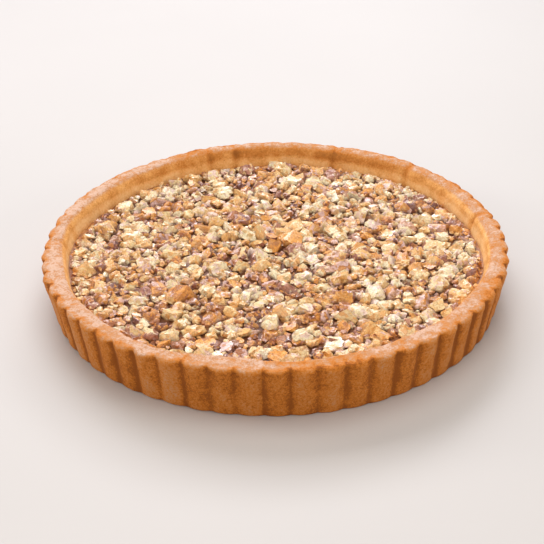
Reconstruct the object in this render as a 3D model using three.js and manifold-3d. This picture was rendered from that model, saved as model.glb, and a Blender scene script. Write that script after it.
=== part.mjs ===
// A walnut tart, 28 cm across: a fluted shortcrust shell, and a filling under a close bed of chopped walnuts.
// Millimetres, +Z up. The origin is the centre of the flat underside, and -Y is the tart's front.
// Places round the tart are given as turns, which start at the front and grow towards +X.
import * as THREE from "three";
import { ConvexGeometry } from "three/addons/geometries/ConvexGeometry.js";
import { mergeVertices } from "three/addons/utils/BufferGeometryUtils.js";
import Module from "manifold-3d";

// The pastry shell
const RIM_RADIUS = 140; // to the flutes' tips, at the shoulder
const BASE_RADIUS = 135.2; // to the flutes' tips, at the table
const HEIGHT = 32;
const RIM_LEVEL = HEIGHT - 0.6; // the middle height of the rim, which wanders
const FLUTES = 60;
const FLUTE_DEPTH = 2.8; // at the rim
const FLUTE_FADE = 0.35; // what is left of that depth at the table, as a share
const LOBE_POWER = 0.75; // under 1, it makes the flutes broad and the grooves between them narrow
const BASE_THICKNESS = 5;
const WALL_TOP_RADIUS = 127; // the inner wall, below the rim's rounding
const WALL_FOOT_RADIUS = 122.5; // the inner wall at the base
const SHOULDER = 2.2; // the rounding of the rim's outer edge
const BROW = 5.2; // the rounding of its inner edge, on average
const BROW_SWAY = 2.2; // how much tighter it is at the front, and wider at the back
const FOOT = 1.4; // the rounding of the lower edge
const STEPS_PER_FLUTE = 5;

// The rim was pressed by hand. Where its inner edge stands back or bulges in: [turn in degrees, width, size]
const RIM_BULGES = [
  [-30, 10, 2.2],
  [-10, 7, -2.6],
  [4, 8, 1.3],
  [57, 9, -1.0],
  [82, 12, 0.7],
  [-78, 9, -1.5],
  [-101, 8, 1.8],
  [128, 14, 0.7],
  [-135, 14, -0.9],
  [176, 12, 0.5],
];
// How its height wanders: [waves round, size, phase]
const RIM_WAVES = [
  [2, 0.3, 1.0],
  [7, 0.25, 3.3],
  [13, 0.15, 0.4],
];
// Seams in the dough, where the rim has a shallow nick: turns in degrees
const SEAMS = [-168, -160, -91, 102, 136, 161];
const SEAM_WIDTH = 2.4;
const SEAM_DEPTH = 1.0;

// The filling and its walnuts
const FILLING_LEVEL = 17.5; // its surface between the nuts
const FILLING_STEPS = 100;
const CREEP = 0.7; // how far its edge stands up the wall
const CLEARANCE = 0.3; // between the filling and the pastry
const NUTS = 285;
const NUT_SIZE = 9.8; // across an average large piece
const NUT_SPREAD = 0.28; // a piece is up to this share larger or smaller
const NUT_POINTS = 9; // corners of one piece
const NUT_FLATNESS = 0.74;
const NUT_LENGTH = 1.15;
const NUT_LIFT = 1.1; // how far the middle of a piece lies above the filling, on average
const NUT_TILT = 0.5;
const NUT_JITTER = 3;
const SEED = 4127;
const GOLDEN_ANGLE = Math.PI * (3 - Math.sqrt(5));
const ARC = 1 - Math.SQRT1_2; // how far the middle of a quarter round lies from its two sides

const pastry = new THREE.MeshStandardMaterial({ name: "pastry", color: "#c98b4c", roughness: 0.85, metalness: 0 });
const walnut = new THREE.MeshStandardMaterial({ name: "walnut", color: "#cfa873", roughness: 0.5, metalness: 0 });

// The angle from one place on the circle to another, at most half a turn, in degrees
function gap(turn, degrees) {
  const difference = THREE.MathUtils.radToDeg(turn) - degrees;
  return Math.abs(THREE.MathUtils.euclideanModulo(difference + 180, 360) - 180);
}

function bulge(turn) {
  return RIM_BULGES.reduce((sum, [place, width, size]) => sum + size * Math.exp(-((gap(turn, place) / width) ** 2)), 0);
}

function wander(turn) {
  return RIM_WAVES.reduce((sum, [count, size, phase]) => sum + size * Math.sin(count * turn + phase), 0);
}

// 1 in the middle of a seam, 0 away from it
function seam(turn) {
  return Math.max(...SEAMS.map((place) => Math.max(0, 1 - gap(turn, place) / SEAM_WIDTH)));
}

// 0 on a flute's tip, -1 in the groove beside it
function flute(turn) {
  return Math.abs(Math.cos((FLUTES * turn) / 2)) ** LOBE_POWER - 1;
}

function brow(turn) {
  return BROW - BROW_SWAY * Math.cos(turn);
}

// 0 at the base, 1 where the inner wall meets the brow
function rise(turn, z) {
  return THREE.MathUtils.clamp((z - BASE_THICKNESS) / (RIM_LEVEL - brow(turn) - BASE_THICKNESS), 0, 1);
}

function innerRadius(turn, z) {
  const uneven = bulge(turn) + SEAM_DEPTH * seam(turn);
  return THREE.MathUtils.lerp(WALL_FOOT_RADIUS, WALL_TOP_RADIUS, rise(turn, z)) + uneven * rise(turn, z);
}

// A solid of revolution about Z through the given rings, from the axis at the bottom to the axis at the top.
// Each ring has a radius and a height, and shape(turn, ring) moves its points.
function turned(rings, steps, firstTurn, shape) {
  const profile = [new THREE.Vector2(0, rings.at(0).z)];
  rings.forEach((ring) => profile.push(new THREE.Vector2(ring.radius, ring.z)));
  profile.push(new THREE.Vector2(0, rings.at(-1).z));
  const geometry = new THREE.LatheGeometry(profile, steps, firstTurn).rotateX(Math.PI / 2);
  const position = geometry.attributes.position;
  for (let i = 0; i < position.count; i++) {
    const ring = rings[(i % profile.length) - 1];
    if (!ring) continue;
    const turn = firstTurn + (Math.floor(i / profile.length) / steps) * 2 * Math.PI;
    const { radius, z } = shape(turn, ring);
    position.setXYZ(i, radius * Math.sin(turn), -radius * Math.cos(turn), z);
  }
  return geometry;
}

// fluted: how much of the flutes' depth a ring has. uneven: how much of the rim's unevenness. lift: of its height's.
// out, down: where the ring lies on the brow, as shares of its size.
function pastryShell() {
  const plain = { fluted: 0, uneven: 0, lift: 0, out: 0, down: 0 };
  const onBrow = { ...plain, radius: WALL_TOP_RADIUS, z: RIM_LEVEL, uneven: 1, lift: 1 };
  const rings = [
    { ...plain, radius: BASE_RADIUS - FOOT, z: 0, fluted: FLUTE_FADE },
    { ...plain, radius: BASE_RADIUS, z: FOOT, fluted: FLUTE_FADE },
    { ...plain, radius: RIM_RADIUS, z: RIM_LEVEL - SHOULDER, fluted: 1, lift: 1 },
    { ...plain, radius: RIM_RADIUS - SHOULDER, z: RIM_LEVEL, fluted: 0.75, lift: 1 },
    { ...onBrow, out: 1 },
    { ...onBrow, out: ARC, down: ARC },
    { ...onBrow, down: 1 },
    { ...plain, radius: WALL_FOOT_RADIUS, z: BASE_THICKNESS },
  ];
  const groove = Math.PI / FLUTES;
  return turned(rings, FLUTES * STEPS_PER_FLUTE, groove, (turn, ring) => {
    const fluted = ring.fluted * FLUTE_DEPTH * flute(turn);
    const uneven = ring.uneven * (bulge(turn) + SEAM_DEPTH * seam(turn));
    const lifted = ring.lift * (wander(turn) - 0.5 * SEAM_DEPTH * seam(turn));
    return {
      radius: ring.radius + fluted + uneven + ring.out * brow(turn),
      z: ring.z + lifted - ring.down * brow(turn),
    };
  });
}

// The filling alone fills the shell from wall to wall, and its edge creeps up a little
function fillingCore() {
  const rings = [
    { z: BASE_THICKNESS + CLEARANCE, inset: 0 },
    { z: FILLING_LEVEL + CREEP, inset: 0 },
    { z: FILLING_LEVEL, inset: 3 },
  ];
  rings.forEach((ring) => (ring.radius = WALL_FOOT_RADIUS));
  return turned(rings, FILLING_STEPS, 0, (turn, ring) => ({
    radius: innerRadius(turn, ring.z) - CLEARANCE - 0.1 - ring.inset,
    z: ring.z,
  }));
}

// Seeded random numbers from 0 to 1
function randomFrom(seed) {
  let state = seed;
  return () => {
    state = (state + 0x6d2b79f5) | 0;
    let mixed = Math.imul(state ^ (state >>> 15), 1 | state);
    mixed = (mixed + Math.imul(mixed ^ (mixed >>> 7), 61 | mixed)) ^ mixed;
    return ((mixed ^ (mixed >>> 14)) >>> 0) / 2 ** 32;
  };
}

// One chopped piece: the hull of a few corners spread over a long, flattened ball, turned at random
function walnutPiece(random, size) {
  const corners = [];
  for (let i = 0; i < NUT_POINTS; i++) {
    const up = 1 - (2 * (i + 0.5)) / NUT_POINTS;
    const across = Math.sqrt(1 - up * up);
    const angle = GOLDEN_ANGLE * i + random();
    const reach = 0.5 * size * (0.85 + 0.3 * random());
    const corner = new THREE.Vector3(across * Math.cos(angle), across * Math.sin(angle), up);
    corners.push(corner.multiply(new THREE.Vector3(NUT_LENGTH, 1, NUT_FLATNESS)).multiplyScalar(reach));
  }
  const piece = new ConvexGeometry(corners);
  piece.rotateX(NUT_TILT * (2 * random() - 1));
  piece.rotateZ(2 * Math.PI * random());
  return piece;
}

// How far a piece at (x, y) would reach past the bed's edge
function overshoot(piece, x, y, z) {
  const position = piece.attributes.position;
  let most = 0;
  for (let i = 0; i < position.count; i++) {
    const cornerX = position.getX(i) + x;
    const cornerY = position.getY(i) + y;
    const edge = innerRadius(Math.atan2(cornerX, -cornerY), position.getZ(i) + z) - 2 * CLEARANCE;
    most = Math.max(most, Math.hypot(cornerX, cornerY) - edge);
  }
  return most;
}

const wasm = await Module();
wasm.setup();

function toSolid(geometry) {
  geometry.deleteAttribute("normal");
  geometry.deleteAttribute("uv");
  const merged = mergeVertices(geometry, 1e-4);
  return new wasm.Manifold(
    new wasm.Mesh({
      numProp: 3,
      vertProperties: new Float32Array(merged.attributes.position.array),
      triVerts: new Uint32Array(merged.index.array),
    }),
  );
}

function toGeometry(solid) {
  const mesh = solid.getMesh();
  const geometry = new THREE.BufferGeometry();
  geometry.setAttribute("position", new THREE.Float32BufferAttribute(mesh.vertProperties, 3));
  geometry.setIndex(new THREE.BufferAttribute(mesh.triVerts, 1));
  geometry.computeVertexNormals();
  return geometry;
}

// The walnuts lie on a sunflower spiral, which spreads them evenly, and are fused to the filling.
// A piece that would cross the pastry is moved in.
function walnutFilling() {
  const random = randomFrom(SEED);
  let filling = toSolid(fillingCore());
  for (let i = 0; i < NUTS; i++) {
    const size = NUT_SIZE * (1 + NUT_SPREAD * (random() + random() - 1));
    const piece = walnutPiece(random, size);
    const turn = GOLDEN_ANGLE * i;
    const spiral = WALL_FOOT_RADIUS * Math.sqrt((i + 0.5) / NUTS);
    const z = FILLING_LEVEL + NUT_LIFT + (random() - 0.5) * NUT_LIFT;
    const x = spiral * Math.cos(turn) + NUT_JITTER * (random() - 0.5);
    const y = spiral * Math.sin(turn) + NUT_JITTER * (random() - 0.5);
    const inward = 1 - overshoot(piece, x, y, z) / Math.hypot(x, y);
    filling = filling.add(toSolid(piece.translate(x * inward, y * inward, z)));
  }
  return toGeometry(filling);
}

const tart = new THREE.Group();
const shell = new THREE.Mesh(toGeometry(toSolid(pastryShell())), pastry);
shell.name = "pastry_shell";
tart.add(shell);
const filling = new THREE.Mesh(walnutFilling(), walnut);
filling.name = "walnut_filling";
tart.add(filling);

export default tart;
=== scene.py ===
import math
import random

import bmesh
import bpy
import numpy as np
from mathutils import Matrix, Vector, noise


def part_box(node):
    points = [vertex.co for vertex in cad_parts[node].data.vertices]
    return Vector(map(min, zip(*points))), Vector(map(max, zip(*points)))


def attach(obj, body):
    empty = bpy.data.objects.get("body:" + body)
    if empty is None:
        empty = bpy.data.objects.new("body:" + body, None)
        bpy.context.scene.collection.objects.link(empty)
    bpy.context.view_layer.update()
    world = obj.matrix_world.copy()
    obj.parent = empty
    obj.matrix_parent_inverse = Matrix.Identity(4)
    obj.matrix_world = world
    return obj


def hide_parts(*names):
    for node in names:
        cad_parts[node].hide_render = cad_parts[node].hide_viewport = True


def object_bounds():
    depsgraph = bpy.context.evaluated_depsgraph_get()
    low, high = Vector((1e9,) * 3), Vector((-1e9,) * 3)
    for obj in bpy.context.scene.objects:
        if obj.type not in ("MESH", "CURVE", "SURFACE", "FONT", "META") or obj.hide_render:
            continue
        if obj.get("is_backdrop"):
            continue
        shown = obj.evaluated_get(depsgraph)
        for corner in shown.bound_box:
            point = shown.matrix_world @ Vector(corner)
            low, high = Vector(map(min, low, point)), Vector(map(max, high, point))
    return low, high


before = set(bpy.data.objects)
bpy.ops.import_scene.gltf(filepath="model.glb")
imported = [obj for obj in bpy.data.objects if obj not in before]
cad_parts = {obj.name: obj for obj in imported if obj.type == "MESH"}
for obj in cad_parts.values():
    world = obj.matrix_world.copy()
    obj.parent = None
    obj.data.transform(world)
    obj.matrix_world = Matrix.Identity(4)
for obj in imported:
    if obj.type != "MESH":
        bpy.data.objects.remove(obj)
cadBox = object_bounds()
mm = 0.001
print("frame loaded")


# Small tools. Lengths are in metres, but for those said to be in mm. Places round the tart are turns,
# in radians, which start at the front and grow towards +X.
def mixed(a, b, share):
    return a + (b - a) * share


def smooth(low, high, values):  # 0 below low, 1 above high, soft between
    share = np.clip((values - low) / (high - low), 0, 1)
    return share * share * (3 - 2 * share)


def angleGap(turns, place):  # degrees from a place on the circle
    return np.abs((np.degrees(turns) - place + 180) % 360 - 180)


def noiseAt(points, size, shift=0.0):  # one soft random number for each point, from -1 to 1
    return np.array([noise.noise(Vector(p) / size + Vector((shift, 0, 0))) for p in points])


def crumbAt(points, size):  # the same, with finer detail on it
    return np.array([noise.fractal(Vector(p) / size, 0.7, 2.2, 2) for p in points])


def pointsOf(mesh):
    flat = np.empty(3 * len(mesh.vertices))
    mesh.vertices.foreach_get("co", flat)
    return flat.reshape(-1, 3)


def normalsOf(mesh):
    flat = np.empty(3 * len(mesh.vertices))
    mesh.vertex_normals.foreach_get("vector", flat)
    return flat.reshape(-1, 3)


def movePoints(mesh, points):
    mesh.vertices.foreach_set("co", np.ravel(points))
    mesh.update()


def setAttribute(mesh, name, values, domain="POINT"):
    layer = mesh.attributes.new(name, "FLOAT", domain)
    layer.data.foreach_set("value", np.asarray(values, np.float32))


def takeAttribute(mesh, name):  # reads a working layer and removes it
    layer = mesh.attributes[name]
    values = np.empty(len(layer.data))
    layer.data.foreach_get("value", values)
    mesh.attributes.remove(layer)
    return values


def revolved(name, rings, steps):  # a closed skin round Z, from the axis below to the axis above
    bm = bmesh.new()
    bmesh.ops.create_grid(bm, x_segments=steps, y_segments=len(rings) - 1, size=1)
    ringLayer = bm.verts.layers.float.new("ring")
    for vert in bm.verts:
        turn = math.pi * vert.co.x
        ring = round((vert.co.y + 1) / 2 * (len(rings) - 1))
        radius, z = rings[ring]
        vert[ringLayer] = ring
        vert.co = (radius * math.sin(turn), -radius * math.cos(turn), z)
    bmesh.ops.remove_doubles(bm, verts=bm.verts, dist=0.001 * mm)
    bmesh.ops.recalc_face_normals(bm, faces=bm.faces)
    mesh = bpy.data.meshes.new(name)
    bm.to_mesh(mesh)
    bm.free()
    return mesh


def addPiece(name, mesh, finish, creaseAngle):
    piece = bpy.data.objects.new(name, mesh)
    bpy.context.scene.collection.objects.link(piece)
    mesh.materials.append(finish)
    mesh.shade_smooth()
    mesh.set_sharp_from_angle(angle=math.radians(creaseAngle))
    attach(piece, "root")
    return piece


class Wire:  # a shader socket that can stand in a sum
    def __init__(self, finish, socket):
        self.finish = finish
        self.socket = socket

    def maths(self, operation, first, second=0.0):
        return self.finish.node("ShaderNodeMath", {"operation": operation}, {0: first, 1: second})

    def __add__(self, other):
        return self.maths("ADD", self, other)

    def __radd__(self, other):
        return self.maths("ADD", other, self)

    def __sub__(self, other):
        return self.maths("SUBTRACT", self, other)

    def __rsub__(self, other):
        return self.maths("SUBTRACT", other, self)

    def __mul__(self, other):
        return self.maths("MULTIPLY", self, other)

    def __rmul__(self, other):
        return self.maths("MULTIPLY", other, self)

    def __abs__(self):
        return self.maths("ABSOLUTE", self)


class Finish:  # a material and the nodes that make it
    def __init__(self, name):
        self.material = bpy.data.materials.new(name)
        self.material.use_nodes = True
        self.tree = self.material.node_tree
        self.shader = self.tree.nodes["Principled BSDF"]
        self.place = self.node("ShaderNodeTexCoord", {}, {}, "Object")

    def plug(self, socket, value):
        if isinstance(value, Wire):
            self.tree.links.new(value.socket, socket)
        elif socket.type == "RGBA":
            socket.default_value = (*value, 1)
        else:
            socket.default_value = value

    def node(self, kind, settings, sockets, output=0):
        made = self.tree.nodes.new(kind)
        for key, value in settings.items():
            if key == "stops":
                self.setStops(made.color_ramp.elements, value)
            else:
                setattr(made, key, value)
        for key, value in sockets.items():
            self.plug(made.inputs[key], value)
        return Wire(self, made.outputs[output])

    def setStops(self, elements, stops):
        while len(elements) < len(stops):
            elements.new(1)
        for element, (position, colour) in zip(elements, stops):
            element.position = position
            element.color = (*colour, 1)

    def attribute(self, name):
        return self.node("ShaderNodeAttribute", {"attribute_name": name}, {}, "Fac")

    def grain(self, size, detail=2, roughness=0.5, shift=0.0):  # noise, 0 to 1, in spots of that size
        sockets = {"Vector": self.place, "Location": (shift, shift, shift)}
        moved = self.node("ShaderNodeMapping", {}, sockets)
        sockets = {"Vector": moved, "Scale": 1 / size, "Detail": detail, "Roughness": roughness}
        return self.node("ShaderNodeTexNoise", {}, sockets, "Fac")

    def pits(self, size):  # distance from the middle of cells of that size
        sockets = {"Vector": self.place, "Scale": 1 / size}
        return self.node("ShaderNodeTexVoronoi", {"feature": "F1"}, sockets, "Distance")

    def step(self, value, low, high):  # 0 below low, 1 above high
        sockets = {"Value": value, "From Min": low, "From Max": high}
        return self.node("ShaderNodeMapRange", {"interpolation_type": "SMOOTHSTEP"}, sockets, "Result")

    def colours(self, value, stops):
        return self.node("ShaderNodeValToRGB", {"stops": stops}, {"Fac": value}, "Color")

    def blend(self, share, first, second):  # all of the second colour where the share is 1
        return self.node("ShaderNodeMix", {"data_type": "RGBA"}, {0: share, 6: first, 7: second}, 2)

    def tint(self, colour, share, over):  # over is how strongly another colour covers, and that colour
        strength, second = over
        return self.blend(share * strength, colour, second)

    def bump(self, height, distance, strength):
        sockets = {"Height": height, "Distance": distance, "Strength": strength}
        return self.node("ShaderNodeBump", {}, sockets, "Normal")

    def set(self, **values):
        for key, value in values.items():
            self.plug(self.shader.inputs[key.replace("_", " ")], value)
        return self.material


# The camera, the floor and the light
camera = {
    "distance": 0.714,  # from the middle of the tart's underside
    "elevation": 31.45,  # this and the next three in degrees
    "pan": 0.153,
    "tilt": 0.49,
    "roll": 1.0,
    "lens": 76.1,  # in mm, for a sensor of this width
    "sensor": 36,
    "nearest": 0.02,
}


def placeCamera():
    data = bpy.data.cameras.new("camera")
    data.lens = camera["lens"]
    data.sensor_width = camera["sensor"]
    data.clip_start = camera["nearest"]
    eye = bpy.data.objects.new("camera", data)
    bpy.context.scene.collection.objects.link(eye)
    up = math.radians(camera["elevation"])
    spot = Vector((0, -math.cos(up), math.sin(up))) * camera["distance"]
    aim = (-spot).to_track_quat("-Z", "Y").to_matrix().to_4x4()
    pan = Matrix.Rotation(math.radians(camera["pan"]), 4, "Y")
    tilt = Matrix.Rotation(math.radians(camera["tilt"]), 4, "X")
    roll = Matrix.Rotation(math.radians(-camera["roll"]), 4, "Z")
    eye.matrix_world = Matrix.Translation(spot) @ aim @ pan @ tilt @ roll
    bpy.context.scene.camera = eye


studio = {
    "floorSize": 4.0,
    "floorColour": (0.545, 0.518, 0.498),
    "floorMottle": 0.97,  # the colour of its darker spots, as a share of that one
    "skyColour": (1.0, 0.97, 0.95),
    "skyStrength": 0.4,
    # name: place, size, watts, colour
    "lamps": {
        "window": ((-0.6, 2.3, 1.9), (2.2, 1.4), 66.0, (0.95, 0.94, 1.0)),
        "overhead": ((0.1, 0.0, 1.3), (1.0, 1.0), 7.6, (1.0, 0.96, 0.91)),
        "front": ((-0.5, -1.2, 0.8), (1.0, 0.8), 5.8, (1.0, 0.94, 0.86)),
        "left": ((-1.5, 0.35, 0.45), (0.4, 0.3), 6.0, (1.0, 0.96, 0.9)),
        "glint": ((0.35, 1.7, 1.05), (0.5, 0.35), 8.0, (0.93, 0.95, 1.0)),
        "right": ((1.5, -0.35, 0.55), (0.8, 0.6), 6.0, (1.0, 0.97, 0.93)),
    },
}


def makeStudio():
    bm = bmesh.new()
    bmesh.ops.create_grid(bm, x_segments=1, y_segments=1, size=studio["floorSize"] / 2)
    mesh = bpy.data.meshes.new("floor")
    bm.to_mesh(mesh)
    bm.free()
    floor = bpy.data.objects.new("floor", mesh)
    bpy.context.scene.collection.objects.link(floor)
    finish = Finish("pale floor")
    darker = tuple(studio["floorMottle"] * part for part in studio["floorColour"])
    mottled = finish.colours(finish.grain(0.25, 3), [(0.3, studio["floorColour"]), (0.7, darker)])
    mesh.materials.append(finish.set(Base_Color=mottled, Roughness=0.6))
    floor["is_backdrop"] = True
    world = bpy.data.worlds.new("sky")
    world.use_nodes = True
    background = world.node_tree.nodes["Background"]
    background.inputs["Color"].default_value = (*studio["skyColour"], 1)
    background.inputs["Strength"].default_value = studio["skyStrength"]
    bpy.context.scene.world = world
    for name, (place, size, watts, colour) in studio["lamps"].items():
        data = bpy.data.lights.new(name, "AREA")
        data.shape = "RECTANGLE"
        data.size, data.size_y = size
        data.energy = watts
        data.color = colour
        lamp = bpy.data.objects.new(name, data)
        bpy.context.scene.collection.objects.link(lamp)
        aim = (-Vector(place)).to_track_quat("-Z", "Y").to_matrix().to_4x4()
        lamp.matrix_world = Matrix.Translation(place) @ aim
    bpy.context.scene.view_settings.view_transform = "Standard"
    print("camera, floor and light are set")


placeCamera()
makeStudio()


# The pastry shell
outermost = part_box("pastry_shell")[1]
crust = {
    "rimRadius": outermost.x + 0.1 * mm,
    "baseRadius": outermost.x - 4.7 * mm,
    "height": outermost.z - 0.6 * mm,
    "wallTop": 127 * mm,  # radius of the inner wall, below the brow
    "wallFoot": 122.5 * mm,  # and where it meets the base
    "baseThickness": 5 * mm,
    "foot": 1.3 * mm,  # rounding at the table
    "shoulder": 2.4 * mm,  # rounding of the rim's outer edge
    "brow": 5.2 * mm,  # rounding of its inner edge, on average
    "browSway": 2.2 * mm,  # how much tighter it is at the front, and wider at the back
    "flutes": 60,
    "fluteDepth": 2.8 * mm,
    "fluteFade": 0.35,  # what is left of that depth at the table
    "topFlutes": 0.32,  # and on the rim's flat top
    "shoulderFade": 0.7,  # below 1, the flutes fade early on the shoulder
    "topFade": 1.5,  # above 1, they fade early on the flat top
    "fluteBlunt": 0.012,  # rounds the bottom of a groove
    "flutePower": 0.36,  # below 1, the flutes are full and the grooves narrow
    "proud": 0.22 * mm,  # how far one flute stands out more than another
    "lean": 0.2,  # and how far it leans, in degrees
    # where the rim's inner edge stands back or bulges in: place in degrees, width, size
    "bulges": [
        (-30, 10, 2.2 * mm),
        (-10, 7, -2.6 * mm),
        (4, 8, 1.3 * mm),
        (57, 9, -1.0 * mm),
        (82, 12, 0.7 * mm),
        (-78, 9, -1.5 * mm),
        (-101, 8, 1.8 * mm),
        (128, 14, 0.7 * mm),
        (-135, 14, -0.9 * mm),
        (176, 12, 0.5 * mm),
    ],
    # how its height wanders: waves round, size, phase
    "waves": [(2, 0.3 * mm, 1.0), (7, 0.25 * mm, 3.3), (13, 0.15 * mm, 0.4)],
    "seams": [-168, -160, -91, 102, 136, 161],
    "seamWidth": 1.6,  # in degrees
    "seamDepth": 1.0 * mm,
    "seamDip": 0.5 * mm,  # how much lower the rim is there
    "crumb": 0.2 * mm,
    "crumbSize": 2.8 * mm,
    "crumbShares": (0.5, 1.8),  # on the wall and on the rim's top
    "dents": 0.35 * mm,
    "dentSize": 9 * mm,
    "topDentSize": 5 * mm,
    "stepsPerFlute": 14,
    "rings": {"foot": 3, "wall": 24, "shoulder": 7, "top": 11, "brow": 10, "inner": 17},
    "middleRing": 0.6,  # share of the radius where the underside and the floor inside have a ring
    "topFrom": (0.82, 0.95),  # share of the height where the rim's top starts, and is complete
    "seed": 11,
}
baking = {  # how brown the pastry is, from 0 pale to 1 well browned, with painted shade in the grooves and at the back of the inner wall and brow
    "wall": 0.7,
    "leftAndRight": -0.1,
    "grooves": (0.2, 0.75),  # painted shade in the flutes' grooves: all round, and more at the left and right
    "grooveShadePower": 1.5,
    "foot": 0.06,
    "footTo": 0.25,  # share of the height
    "flutes": 0.05,  # how much one flute differs from another
    "streaks": 0.1,
    "streakSize": 3.5 * mm,
    "inner": (0.14, 0.3),  # at the front and at the back, where the more is partly browning, partly painted shade
    # browner high on the inner wall and brow, more at the back: partly browning, partly painted shade
    "innerTopBrownAndShade": (0.2, 0.38),
    "innerTopFrom": (0.74, 0.86),  # this and the next two as shares of the height
    "insideTo": (0.98, 0.93),
    "topFrom": (0.945, 0.998),
    "backShadeFrom": (0.35, 0.95),  # share of the radius towards the back, where the inner wall and brow get painted shade
    "seams": 0.3,
    "top": 0.2,
    "topEdge": 0.2,
    "topBack": 0.1,
    # painted shade at the tops of the grooves, under the rim's overhang: all round, and more at the left
    # and right
    "topGrooveShade": (0.28, 0.2),
    "topShade": 1.2,  # how much of the difference between flutes reaches the top
    # size, shift and strength of the noise on the top
    "topPatches": [(14 * mm, 0.0, 0.25), (4 * mm, 2.1, 0.38)],
    # where the rim is browner: place and width in degrees, how much
    "browner": [(12, 15, 0.22), (80, 30, 0.14), (-110, 28, -0.13)],
    "spots": 0.07,
    "spotSize": 7 * mm,
}


def hillAt(turns, place, width):  # 1 at the place and soft to both sides
    return np.exp(-((angleGap(turns, place) / width) ** 2))


def fluteAt(turns):  # 0 on a flute's tip, -1 in the groove
    hill = np.cos(crust["flutes"] * turns / 2) ** 2
    blunt, power = crust["fluteBlunt"], crust["flutePower"]
    return ((hill + blunt) ** power - blunt**power) / ((1 + blunt) ** power - blunt**power) - 1


def bulgeAt(turns):
    return sum(size * hillAt(turns, place, width) for place, width, size in crust["bulges"])


def waveAt(turns):
    return sum(size * np.sin(count * turns + phase) for count, size, phase in crust["waves"])


def seamAt(turns):
    width = crust["seamWidth"]
    return sum(np.clip(1 - angleGap(turns, place) / width, 0, 1) for place in crust["seams"])


def browAt(turns):
    return crust["brow"] - crust["browSway"] * np.cos(turns)


def riseAt(turns, z):  # 0 at the base, 1 where the inner wall meets the brow
    wallEnd = crust["height"] - browAt(turns)
    return np.clip((z - crust["baseThickness"]) / (wallEnd - crust["baseThickness"]), 0, 1)


def wallRadius(turns, z):  # the inner wall
    rise = riseAt(turns, z)
    unevenness = bulgeAt(turns) + crust["seamDepth"] * seamAt(turns)
    return mixed(crust["wallFoot"], crust["wallTop"], rise) + unevenness * rise


def corner(centre, radius, fromAngle, toAngle, steps):  # points of an arc, in degrees from outward
    turns = [math.radians(mixed(fromAngle, toAngle, k / steps)) for k in range(steps + 1)]
    return [(centre[0] + radius * math.cos(t), centre[1] + radius * math.sin(t)) for t in turns]


def shellProfile():  # rings from the middle of the underside to the middle of the floor inside
    # each is radius, z, then its shares of the flutes, the unevenness and the rim's waves,
    # and how far it goes outward and down with the brow
    top, brow, fade = crust["height"], crust["brow"], crust["fluteFade"]
    rings = crust["rings"]
    footCentre = (crust["baseRadius"] - crust["foot"], crust["foot"])
    foot = corner(footCentre, crust["foot"], -90, 0, rings["foot"])
    shoulderCentre = (crust["rimRadius"] - crust["shoulder"], top - crust["shoulder"])
    shoulder = corner(shoulderCentre, crust["shoulder"], 0, 90, rings["shoulder"])
    points = [(0, 0, 0, 0, 0, 0, 0), (crust["middleRing"] * crust["baseRadius"], 0, 0, 0, 0, 0, 0)]
    points += [(r, z, fade, 0, z / top, 0, 0) for r, z in foot]
    for share in np.linspace(0, 1, rings["wall"] + 2)[1:-1]:
        r, z = mixed(np.array(foot[-1]), np.array(shoulder[0]), share)
        points.append((r, z, mixed(fade, 1, share), 0, z / top, 0, 0))
    for k, (r, z) in enumerate(shoulder):
        share = (k / rings["shoulder"]) ** crust["shoulderFade"]
        points.append((r, z, mixed(1, crust["topFlutes"], share), 0, 1, 0, 0))
    for share in np.linspace(0, 1, rings["top"] + 1)[1:]:
        r = mixed(shoulder[-1][0], crust["wallTop"] + brow, share)
        points.append((r, top, crust["topFlutes"] * (1 - share) ** crust["topFade"], share, 1, share, 0))
    for bend in np.linspace(0, math.pi / 2, rings["brow"] + 1)[1:]:
        out, down = 1 - math.sin(bend), 1 - math.cos(bend)
        points.append((crust["wallTop"] + brow * out, top - brow * down, 0, 1, 1, out, down))
    for share in np.linspace(1, 0, rings["inner"] + 1)[1:]:
        r = mixed(crust["wallFoot"], crust["wallTop"], share)
        points.append((r, mixed(crust["baseThickness"], top - brow, share), 0, share, share, 0, share))
    for share in (crust["middleRing"], 0):
        points.append((share * crust["wallFoot"], crust["baseThickness"], 0, 0, 0, 0, 0))
    return points


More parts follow.
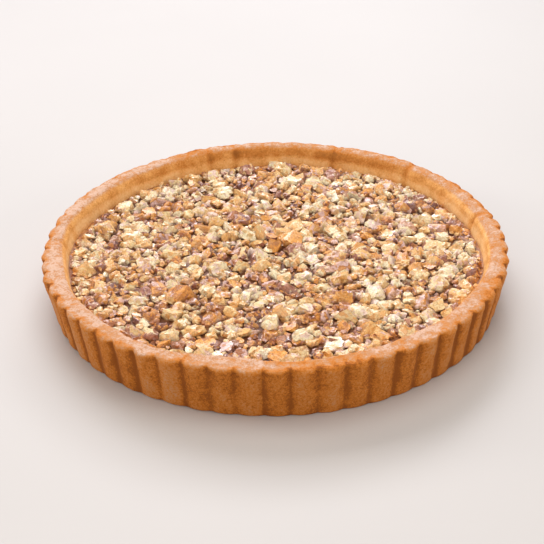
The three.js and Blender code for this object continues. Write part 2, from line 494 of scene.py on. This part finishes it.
def makeShell():
    profile = np.array(shellProfile())
    mesh = revolved("crust", profile[:, :2].tolist(), crust["flutes"] * crust["stepsPerFlute"])
    points = pointsOf(mesh)
    radius, z, fluted, uneven, lifted, out, down = profile[takeAttribute(mesh, "ring").astype(int)].T
    turns = np.arctan2(points[:, 0], -points[:, 1])
    sway = browAt(turns) - crust["brow"]
    radius = radius + out * sway
    z = z - down * sway
    share = z / crust["height"]
    rng = random.Random(crust["seed"])
    proud = np.array([rng.gauss(0, crust["proud"]) for k in range(crust["flutes"])])
    lean = np.radians([rng.gauss(0, crust["lean"]) for k in range(crust["flutes"])])
    which = np.rint(turns * crust["flutes"] / (2 * math.pi)).astype(int) % crust["flutes"]
    onFlute = 1 + fluteAt(turns)
    groove = fluteAt(turns + lean[which] * share * onFlute)
    radius = radius + fluted * (crust["fluteDepth"] * groove + proud[which] * onFlute * share)
    seam = seamAt(turns)
    radius += uneven * (bulgeAt(turns) + crust["seamDepth"] * seam)
    z = z + lifted * (waveAt(turns) - crust["seamDip"] * seam)
    points = np.stack([radius * np.sin(turns), -radius * np.cos(turns), z], axis=1)
    movePoints(mesh, points)
    onTop = smooth(*crust["topFrom"], share)
    standing = (z > 0.5 * mm)[:, None]  # the underside stays flat
    relief = crumbAt(points, crust["crumbSize"]) * crust["crumb"] * mixed(*crust["crumbShares"], onTop)
    relief += noiseAt(points, crust["dentSize"]) * crust["dents"]
    points = points + standing * relief[:, None] * normalsOf(mesh)
    points[:, 2] += onTop * noiseAt(points, crust["topDentSize"], 3.7) * crust["dents"]
    movePoints(mesh, points)
    shade = np.array([rng.gauss(0, baking["flutes"]) for k in range(crust["flutes"])])[which]
    # browning, with painted shade in the grooves and at the back
    setAttribute(mesh, "baked", browningAndShade(points, turns, share, groove, uneven, seam, shade))
    setAttribute(mesh, "inside", smooth(0.5, 1.0, uneven + down) * smooth(*baking["insideTo"], share))
    return mesh


def browningAndShade(points, turns, share, groove, uneven, seam, shade):
    outside = smooth(0.5, 0.0, uneven)
    back = smooth(*baking["backShadeFrom"], points[:, 1] / crust["rimRadius"])
    side = np.sin(turns) ** 2
    allRound, more = baking["grooves"]
    wall = baking["wall"] + baking["leftAndRight"] * side
    # painted shade in the grooves, deeper at the left and right
    wall += (allRound + more * side) * abs(groove) ** baking["grooveShadePower"]
    wall += baking["foot"] * smooth(baking["footTo"], 0.0, share) + shade
    wall += baking["streaks"] * noiseAt(points * [1, 1, 0.2], baking["streakSize"], 0.6)
    # the inner wall and brow darker at the back: partly browning, partly painted shade
    inner = mixed(*baking["inner"], back) + baking["seams"] * seam
    inner += mixed(*baking["innerTopBrownAndShade"], back) * smooth(*baking["innerTopFrom"], share)
    allRound, more = baking["topGrooveShade"]
    top = baking["top"] + baking["topBack"] * back + baking["seams"] * seam + baking["topShade"] * shade
    # a browner outer edge of the rim, and painted shade at the grooves' tops
    top += (baking["topEdge"] + (allRound + more * side) * groove**2) * outside
    for size, shift, strength in baking["topPatches"]:
        top += strength * noiseAt(points, size, shift)
    for place, width, strength in baking["browner"]:
        top += strength * hillAt(turns, place, width)
    onTop = smooth(*baking["topFrom"], share)
    spots = baking["spots"] * noiseAt(points, baking["spotSize"], 1.3)
    return mixed(mixed(inner, wall, outside), top, onTop) + spots


pastryLook = {
    "patchSize": 11 * mm,
    "speckSize": 1.5 * mm,
    "fineSize": 0.7 * mm,
    "crumbSize": 1.1 * mm,
    "holeSize": 2.1 * mm,
    "patches": (0.4, 0.5),  # how much they change the tone, and more on the inner wall
    "specks": (2.3, 1.6),  # how much where it is pale, and less where it is browned
    "fine": 0.6,
    "smoothInside": 0.5,
    "holes": (0.35, (0.36, 0.15, 0.05)),
    "relief": 0.35 * mm,
    # from pale to well browned
    "outer": [
        (0.0, (0.64, 0.415, 0.30)),
        (0.25, (0.54, 0.28, 0.15)),
        (0.5, (0.56, 0.23, 0.07)),
        (0.75, (0.55, 0.172, 0.019)),
        (1.0, (0.29, 0.08, 0.009)),
    ],
    "inner": [
        (0.0, (0.90, 0.56, 0.26)),
        (0.35, (0.79, 0.39, 0.12)),
        (0.7, (0.52, 0.19, 0.035)),
        (1.0, (0.30, 0.10, 0.015)),
    ],
}


def pastryFinish():
    finish = Finish("baked pastry")
    look = pastryLook
    baked = finish.attribute("baked")
    inside = finish.attribute("inside")
    patches = finish.grain(look["patchSize"], 3) - 0.5
    specks = finish.grain(look["speckSize"], 4, 0.7) - 0.5
    fine = finish.grain(look["fineSize"], 2, 0.6)
    (overall, more), (pale, less) = look["patches"], look["specks"]
    grain = specks * (pale - baked * less) + (fine - 0.5) * look["fine"]
    tone = baked + patches * (overall + inside * more) + grain * (1 - inside * look["smoothInside"])
    outer = finish.colours(tone, look["outer"])
    inner = finish.colours(tone, look["inner"])
    holes = 1 - finish.step(finish.pits(look["holeSize"]), 0.08, 0.22)
    colour = finish.tint(finish.blend(inside, outer, inner), holes, look["holes"])
    relief = fine * 0.35 + finish.grain(look["crumbSize"], 3, 0.7) - holes * 0.5
    return finish.set(
        Base_Color=colour,
        Roughness=0.72 + fine * 0.2,
        Normal=finish.bump(relief, look["relief"], 0.8),
        Specular_IOR_Level=0.2,
    )


shell = addPiece("crust", makeShell(), pastryFinish(), 60)
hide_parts("pastry_shell")
print("pastry shell made:", len(shell.data.vertices), "points")


# Chopped walnuts, laid down one by one on a map of heights
bed = {
    "cell": 0.8 * mm,
    "radius": 126 * mm,
    "level": 20.3 * mm,  # mean height of what shows
    "wallDepth": 1.5 * mm,  # how far below that the wall is measured
    "clear": 0.2 * mm,  # from the wall
    "byWall": 0.35,  # share of the tries that are made near the wall
    "wallReach": (1.5, 8),  # how far inside the radius those are, in mm
    "margin": 2 * mm,  # and the other tries at least
    "nestle": 0.62,  # share of a piece's points that stay out of what is under it
    "tilt": 0.35,  # how far a piece leans, in radians
    "toasting": 15 * mm,  # size of the patches that are more toasted than others
    "seed": 5,
    # kind, smallest and largest size in mm, number, tries for a low place
    "batches": [
        ("pieces", 9.0, 13.0, 300, 3),
        ("halves", 13.0, 17.0, 45, 8),
        ("pieces", 10.5, 16.0, 330, 10),
        ("pieces", 7.0, 11.0, 420, 12),
        ("bits", 4.4, 7.0, 480, 14),
        ("bits", 2.6, 4.4, 700, 14),
    ],
    # kind: first seed, number of shapes, fineness, flat breaks
    "shapes": {"halves": (2300, 18, 3, 2), "pieces": (3300, 48, 3, 3), "bits": (2200, 24, 2, 2)},
    "nextSeed": 500,  # how far on the seed goes for a shape that doesn't close
}
kernel = {  # for a kernel that is about 1 across
    # how many to the length, and how deep
    "folds": (3.8, 0.4),
    "smallFolds": (9.0, 0.2),
    "lumps": (2.1, 0.34),
    "width": (0.6, 0.95),
    "flatness": 0.8,
    "breakAt": (0.18, 0.38),  # how far from the middle a break is
    "breakBulge": (-0.1, 0.04),  # how far its own middle stands in or out
    "ridges": (0.7, 0.3),  # what the folds and the small folds add to a ridge
    "breakRidge": 0.6,
    "simplify": 7,  # faces that differ less than this, in degrees, become one
}


def walnutShape(seed, fineness, breaks):  # a folded kernel cut by flat breaks
    rng = random.Random(seed)
    bm = bmesh.new()
    bmesh.ops.create_icosphere(bm, subdivisions=fineness, radius=0.5)
    origin = Vector([rng.uniform(-50, 50) for k in range(3)])
    width = rng.uniform(*kernel["width"])
    (foldCount, foldDepth), (smallCount, smallDepth) = kernel["folds"], kernel["smallFolds"]
    (lumpCount, lumpDepth), (foldRidge, smallRidge) = kernel["lumps"], kernel["ridges"]
    ridge = bm.verts.layers.float.new("ridge")
    for vert in bm.verts:
        fold = 1 - 2 * abs(noise.noise(vert.co * foldCount + origin))
        small = 1 - 2 * abs(noise.noise(vert.co * smallCount - origin))
        lump = noise.noise(vert.co * lumpCount - origin)
        vert[ridge] = foldRidge * fold + smallRidge * small
        vert.co *= 1 + foldDepth * fold + smallDepth * small + lumpDepth * lump
        vert.co.y *= width
        vert.co.z *= kernel["flatness"]
    skin = bm.faces.layers.float.new("skin")
    for face in bm.faces:
        face[skin] = 1
    for k in range(breaks):
        facing = Vector([rng.gauss(0, 1) for axis in range(3)]).normalized()
        spot = facing * rng.uniform(*kernel["breakAt"])
        parts = bm.verts[:] + bm.edges[:] + bm.faces[:]
        cut = bmesh.ops.bisect_plane(
            bm, geom=parts, dist=0.002, plane_co=spot, plane_no=facing, clear_outer=True
        )
        rim = [part for part in cut["geom_cut"] if isinstance(part, bmesh.types.BMEdge)]
        if len(rim) < 3:
            continue
        broken = bmesh.ops.edgenet_fill(bm, edges=rim)["faces"]
        for face in broken:
            face[skin] = 0
        for vert in bmesh.ops.poke(bm, faces=broken)["verts"]:
            vert[ridge] = kernel["breakRidge"]
            vert.co += facing * rng.uniform(*kernel["breakBulge"])
    limit = math.radians(kernel["simplify"])
    bmesh.ops.dissolve_limit(bm, angle_limit=limit, verts=bm.verts, edges=bm.edges)
    bmesh.ops.triangulate(bm, faces=bm.faces)
    bmesh.ops.recalc_face_normals(bm, faces=bm.faces)
    if any(len(edge.link_faces) != 2 for edge in bm.edges):  # not closed, so another one is made
        bm.free()
        return walnutShape(seed + bed["nextSeed"], fineness, breaks)
    points = np.array([v.co for v in bm.verts])
    points -= (points.max(0) + points.min(0)) / 2
    points /= np.ptp(points, axis=0).max()
    faces = np.array([[v.index for v in f.verts] for f in bm.faces])
    skins = np.array([f[skin] for f in bm.faces])
    ridges = np.array([v[ridge] for v in bm.verts])
    bm.free()
    return points, faces, skins, ridges


def laidFlat(rng, points, size):  # turned at random, with its flattest way mostly down
    spread = np.linalg.eigh(np.cov(points.T))[1][:, ::-1]  # columns: longest to flattest
    if np.linalg.det(spread) < 0:
        spread[:, 2] *= -1
    around = Matrix.Rotation(rng.uniform(0, 2 * math.pi), 3, "Z")
    tilt = Matrix.Rotation(rng.gauss(0, bed["tilt"]), 3, "X")
    roll = Matrix.Rotation(rng.uniform(0, 2 * math.pi), 3, "Z")
    return points @ spread @ np.array(around @ tilt @ roll).T * size


class HeightMap:  # how high the nuts reach, in square cells seen from above
    def __init__(self):
        self.count = int(2 * bed["radius"] / bed["cell"])
        self.heights = np.zeros((self.count, self.count))
        middles = (np.arange(self.count) + 0.5) * bed["cell"] - bed["radius"]
        x, y = np.meshgrid(middles, middles, indexing="ij")
        wall = wallRadius(np.arctan2(x, -y), bed["level"] - bed["wallDepth"])
        self.inside = np.hypot(x, y) < wall - bed["clear"]

    def cells(self, points):
        found = ((points[:, :2] + bed["radius"]) / bed["cell"]).astype(int)
        return np.clip(found, 0, self.count - 1).T

    def rest(self, points):  # how high the piece comes to lie, or None outside the wall
        i, j = self.cells(points)
        if not self.inside[i, j].all():
            return None
        ranked = int(bed["nestle"] * (len(points) - 1))
        return np.partition(self.heights[i, j] - points[:, 2], ranked)[ranked]

    def cover(self, points):
        i, j = self.cells(points)
        np.maximum.at(self.heights, (i, j), points[:, 2])

    def blurred(self, width):  # a soft copy
        reach = np.fft.fftfreq(self.count, d=bed["cell"])
        soft = np.exp(-2 * (math.pi * width) ** 2 * (reach[:, None] ** 2 + reach[None, :] ** 2))
        known = self.inside.astype(float)
        grids = (self.heights * known, known)
        heights, weights = [np.real(np.fft.ifft2(np.fft.fft2(grid) * soft)) for grid in grids]
        return heights / np.maximum(weights, 0.05)


def lowPlace(rng, ground, samples, tries):  # the lowest of a few random places, or None
    best = None
    lowest = math.inf
    for attempt in range(tries):
        out = (bed["radius"] - bed["margin"]) * math.sqrt(rng.random())
        if rng.random() < bed["byWall"]:
            out = bed["radius"] - rng.uniform(*bed["wallReach"]) * mm
        turn = rng.uniform(0, 2 * math.pi)
        move = np.array([out * math.sin(turn), -out * math.cos(turn), 0])
        lift = ground.rest(samples + move)
        if lift is not None and lift < lowest:
            lowest = lift
            best = move + [0, 0, lift]
    return best


def layWalnuts():
    rng = random.Random(bed["seed"])
    shapes = {}
    for kind, (firstSeed, number, fineness, breaks) in bed["shapes"].items():
        shapes[kind] = [walnutShape(firstSeed + k, fineness, breaks) for k in range(number)]
    ground = HeightMap()
    laid = []
    for kind, smallest, largest, number, tries in bed["batches"]:
        for k in range(number):
            points, faces, skins, ridges = rng.choice(shapes[kind])
            points = laidFlat(rng, points, rng.uniform(smallest, largest) * mm)
            samples = np.concatenate([points, points[faces].mean(axis=1)])
            place = lowPlace(rng, ground, samples, tries)
            if place is None:
                continue
            ground.cover(samples + place)
            laid.append(
                {
                    "kind": kind,
                    "points": points + place,
                    "faces": faces,
                    "skins": skins,
                    "ridges": ridges,
                    "tone": rng.random() + noise.noise(Vector(place) / bed["toasting"]),
                    "pick": rng.random(),
                    "hue": rng.random(),
                }
            )
    down = ground.heights[ground.inside].mean() - bed["level"]
    ground.heights -= down
    for piece in laid:
        piece["points"][:, 2] -= down
    spread = ground.heights[ground.inside].std()
    print("walnuts laid:", len(laid), "raised by", -down / mm, "mm, spread", spread / mm, "mm")
    return laid, ground


laid, ground = layWalnuts()


# The filling between the walnuts
filling = {
    "rings": 90,
    "steps": 640,
    "foot": 122.8 * mm,
    "edge": 124.5 * mm,
    "overBase": 0.3 * mm,
    "intoWall": 0.25 * mm,  # it wets the wall
    "wallDepth": 2 * mm,  # how far below the nuts' level the wall is measured
    # its top is the higher of two soft copies of the nuts' heights: softness, how far below
    "tops": [(3.2 * mm, 1.3 * mm), (1.2 * mm, 2.21 * mm)],
    "creep": 0.6 * mm,  # up the wall
    "creepWidth": 2.5 * mm,
    "ripple": 0.25 * mm,
    "rippleSize": 4 * mm,
    "around": 3.5 * mm,  # softness of the height that the depth of the painted shade is taken from
    "paintedShadeDepths": (0.1 * mm, 1.6 * mm),  # depth where the painted shade between the nuts starts, and where it is darkest
    "soakAndShadeDepths": (-1.6 * mm, 0.4 * mm),  # depth in the syrup where a nut is not yet darker, and where it is fully darker: partly soaked in syrup, partly painted shade low on the nut
    "colours": [(0.3, (0.24, 0.085, 0.025)), (0.5, (0.40, 0.16, 0.05)), (0.7, (0.58, 0.28, 0.11))],
    "colourSize": 5 * mm,
    # colour of the painted shade deep between the nuts
    "paintedShadeColour": (0.11, 0.03, 0.012),
    "relief": 0.3 * mm,
    "reliefSize": 1.6 * mm,
    "roughness": (0.4, 0.2),  # lowest, and how much it varies
    "roughnessSize": 3 * mm,
}
syrupTop = np.maximum(*[ground.blurred(softness) - below for softness, below in filling["tops"]])
around = ground.blurred(filling["around"])


def paintedShadeAt(points):  # painted shade: 1 deep between the nuts, where shade falls
    i, j = ground.cells(points)
    return smooth(*filling["paintedShadeDepths"], around[i, j] - points[:, 2])


def makeFilling():
    floorZ = crust["baseThickness"] + filling["overBase"]
    rings = [(0, floorZ), (filling["foot"], floorZ)]
    for k in range(filling["rings"] + 1):
        rings.append((filling["edge"] * (1 - k / filling["rings"]), bed["level"]))
    mesh = revolved("filling", rings, filling["steps"])
    mesh.attributes.remove(mesh.attributes["ring"])
    points = pointsOf(mesh)
    onTop = points[:, 2] > floorZ + mm
    turns = np.arctan2(points[:, 0], -points[:, 1])
    radius = np.hypot(points[:, 0], points[:, 1])
    edge = wallRadius(turns, bed["level"] - filling["wallDepth"]) + filling["intoWall"]
    radius *= np.where(onTop, edge / filling["edge"], 1)
    i, j = ground.cells(points * 0.99)  # a little inward, so that the wall isn't read
    wave = syrupTop[i, j] + filling["ripple"] * noiseAt(points, filling["rippleSize"])
    wave += filling["creep"] * smooth(filling["creepWidth"], 0, edge - radius)
    z = np.where(onTop, wave, floorZ)
    points = np.stack([radius * np.sin(turns), -radius * np.cos(turns), z], axis=1)
    movePoints(mesh, points)
    # the attribute deep is painted shade between the nuts
    setAttribute(mesh, "deep", paintedShadeAt(points))
    return mesh


def fillingFinish():
    finish = Finish("set filling")
    colour = finish.colours(finish.grain(filling["colourSize"], 3), filling["colours"])
    # painted shade: darker deep between the nuts
    colour = finish.blend(finish.attribute("deep"), colour, filling["paintedShadeColour"])
    normal = finish.bump(finish.grain(filling["reliefSize"], 2), filling["relief"], 0.5)
    lowest, more = filling["roughness"]
    roughness = lowest + finish.grain(filling["roughnessSize"], 2) * more
    return finish.set(Base_Color=colour, Roughness=roughness, Normal=normal, Specular_IOR_Level=0.25)


syrup = addPiece("filling", makeFilling(), fillingFinish(), 80)
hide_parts("walnut_filling")
print("filling made:", len(syrup.data.vertices), "points")


# The walnut pieces as joined meshes, one for each kind
nutLook = {
    "flesh": [  # from pale to toasted
        (0.0, (0.95, 0.83, 0.54)),
        (0.25, (0.93, 0.73, 0.39)),
        (0.5, (0.91, 0.56, 0.21)),
        (0.75, (0.80, 0.34, 0.07)),
        (1.0, (0.42, 0.14, 0.04)),
    ],
    "golden": [(0.1, (0.83, 0.58, 0.27)), (0.5, (0.74, 0.42, 0.14)), (0.85, (0.56, 0.25, 0.07))],
    "toasted": [(0.1, (0.72, 0.40, 0.15)), (0.5, (0.55, 0.25, 0.09)), (0.85, (0.34, 0.13, 0.05))],
    "maroon": [(0.1, (0.58, 0.26, 0.14)), (0.45, (0.36, 0.11, 0.07)), (0.8, (0.13, 0.03, 0.028))],
    # what lies over the flesh: how strongly, and its colour
    # a pink-lilac tone in random patches: partly the flesh's own colour, partly a painted sheen of the
    # glaze
    "rosySheen": (0.7, (0.88, 0.64, 0.62)),
    "amber": (0.65, (0.88, 0.36, 0.04)),
    "wrinkle": (0.35, (0.55, 0.22, 0.06)),
    # painted shade in the kernel's folds
    "foldShade": (0.6, (0.36, 0.12, 0.035)),
    # darker low on a nut by the syrup: partly soaked in it, partly painted shade
    "wet": (0.7, (0.40, 0.16, 0.08)),
    # painted shade deep between the nuts
    "deep": (0.94, (0.07, 0.02, 0.016)),
    "husk": 0.9,
    # how toasted the flesh is: by a piece's tone, mottle and patches, and how much less on a ridge
    "fleshBy": (0.85, 0.7, 0.6, 0.5),
    "hueBy": (0.7, 2.2),  # by a piece's hue, and by patches
    "huskBy": (0.6, 1.1, 0.2),  # by a piece's tone, by mottle, and for all
    "huskFrom": (0.6, 0.3),  # where in its noise the skin starts, and how much lower where all has it
    "huskEdge": 0.12,
    # where in the range of hues the rosy tone, partly a painted lilac sheen, starts and is full, and
    # where amber is full and ends
    "rosySheenFrom": (0.56, 0.7),
    "amberTo": (0.04, 0.18),
    "foldShadeTo": (-0.25, 0.2),  # ridge where the painted shade in the folds is full, and where it ends
    "mottleSize": 2.6 * mm,
    "broadSize": 3.6 * mm,
    "wrinkleSize": 2.6 * mm,
    "wrinkleWidth": 0.05,
    "huskSize": 3.4 * mm,
    "glossSize": 6 * mm,
    "glossFrom": (0.38, 0.58),  # where in its noise it starts and is full
    "gloss": (0.2, 0.6),  # lowest, and how much it varies
    "roughness": (0.5, 0.15),  # highest, and how much less where it is glossy
    "relief": 0.9 * mm,
    "reliefSizes": (1.3 * mm, 2.6 * mm),
    "reliefBy": (1.2, 0.35),  # the coarse one against the fine, and how deep the wrinkles are
}
kinds = {
    # name: which pieces, what share of them from and to, how toasted, skin, share with skin
    "walnut_halves": ("halves", 0.0, 1.0, 0.22, "golden", 0.5),
    "walnut_pieces_pale": ("pieces", 0.0, 0.5, 0.12, "golden", 0.3),
    "walnut_pieces_toasted": ("pieces", 0.5, 0.8, 0.39, "toasted", 0.5),
    "walnut_pieces_skinned": ("pieces", 0.8, 1.0, 0.27, "maroon", 0.8),
    "walnut_bits": ("bits", 0.0, 1.0, 0.42, "maroon", 0.4),
}


def joinPieces(name, chosen):
    counts = [len(piece["points"]) for piece in chosen]
    starts = np.cumsum([0] + counts[:-1])
    points = np.concatenate([piece["points"] for piece in chosen])
    faces = np.concatenate([piece["faces"] + start for piece, start in zip(chosen, starts)])
    mesh = bpy.data.meshes.new(name)
    mesh.from_pydata(points.tolist(), [], faces.tolist())
    setAttribute(mesh, "skin", np.concatenate([piece["skins"] for piece in chosen]), "FACE")
    setAttribute(mesh, "ridge", np.concatenate([piece["ridges"] for piece in chosen]))
    for key in ("tone", "hue"):
        setAttribute(mesh, key, np.repeat([piece[key] for piece in chosen], counts))
    i, j = ground.cells(points)
    # darker low on a nut by the syrup: partly soaking, partly painted shade
    setAttribute(mesh, "wet", smooth(*filling["soakAndShadeDepths"], syrupTop[i, j] - points[:, 2]))
    # the attribute deep is painted shade between the nuts
    setAttribute(mesh, "deep", paintedShadeAt(points))
    return mesh


def walnutFinish(name, toasted, skinName, skinShare):
    finish = Finish(name)
    look = nutLook
    layers = ("tone", "hue", "ridge", "skin", "wet", "deep")
    tone, hue, ridge, skin, wet, deep = [finish.attribute(layer) for layer in layers]
    mottle = finish.grain(look["mottleSize"], 3, 0.6) - 0.5
    broad = finish.grain(look["broadSize"], 2, 0.5, 0.9) - 0.5
    byTone, byMottle, byPatch, byRidge = look["fleshBy"]
    flesh = tone * byTone + mottle * byMottle + broad * byPatch - ridge * byRidge + toasted
    colour = finish.colours(flesh, look["flesh"])
    byHue, byPatch = look["hueBy"]
    hue = hue * byHue + broad * byPatch  # from amber over cream to rosy, which is partly a painted sheen
    # rosy tone, partly a painted lilac sheen
    colour = finish.tint(colour, finish.step(hue, *look["rosySheenFrom"]), look["rosySheen"])
    colour = finish.tint(colour, 1 - finish.step(hue, *look["amberTo"]), look["amber"])
    lines = abs(finish.grain(look["wrinkleSize"], 1, 0.5, 7.7) - 0.5)
    wrinkle = 1 - finish.step(lines, 0.0, look["wrinkleWidth"])
    colour = finish.tint(colour, wrinkle, look["wrinkle"])
    byTone, byMottle, added = look["huskBy"]
    husk = finish.colours(tone * byTone + mottle * byMottle + added, look[skinName])
    start, lower = look["huskFrom"]
    start -= lower * skinShare
    patchy = finish.step(finish.grain(look["huskSize"], 2, 0.5, 0.3), start, start + look["huskEdge"])
    colour = finish.blend(skin * patchy * look["husk"], colour, husk)
    # painted shade in the kernel's folds
    colour = finish.tint(colour, 1 - finish.step(ridge, *look["foldShadeTo"]), look["foldShade"])
    # partly syrup soaking, partly painted shade low on the nut
    colour = finish.tint(colour, wet, look["wet"])
    # painted shade deep between the nuts
    colour = finish.tint(colour, deep, look["deep"])
    (fine, coarse), (byCoarse, byWrinkle) = look["reliefSizes"], look["reliefBy"]
    relief = finish.grain(fine, 3, 0.65) + finish.grain(coarse, 2) * byCoarse - wrinkle * byWrinkle
    gloss = finish.step(finish.grain(look["glossSize"], 2, 0.5, 1.7), *look["glossFrom"])
    dullest, more = look["gloss"]
    roughest, smoother = look["roughness"]
    return finish.set(
        Base_Color=colour,
        Roughness=roughest - gloss * smoother,
        # no coat where the painted shade between the nuts is
        Coat_Weight=(dullest + gloss * more) * (1 - deep),
        Normal=finish.bump(relief, look["relief"], 0.9),
        Coat_Roughness=0.15,
    )


total = 0
for name, (kind, lowShare, highShare, toasted, skinName, skinShare) in kinds.items():
    chosen = [piece for piece in laid if piece["kind"] == kind and lowShare <= piece["pick"] < highShare]
    finish = walnutFinish(name.replace("_", " "), toasted, skinName, skinShare)
    piece = addPiece(name, joinPieces(name, chosen), finish, 50)
    total += len(piece.data.polygons)
    print(name, len(chosen), "pieces", len(piece.data.polygons), "triangles")
print("walnut triangles in all:", total)

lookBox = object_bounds()
for name, box in (("cad", cadBox), ("visual", lookBox)):
    print(name, "box:", [round(value, 4) for spot in box for value in spot])
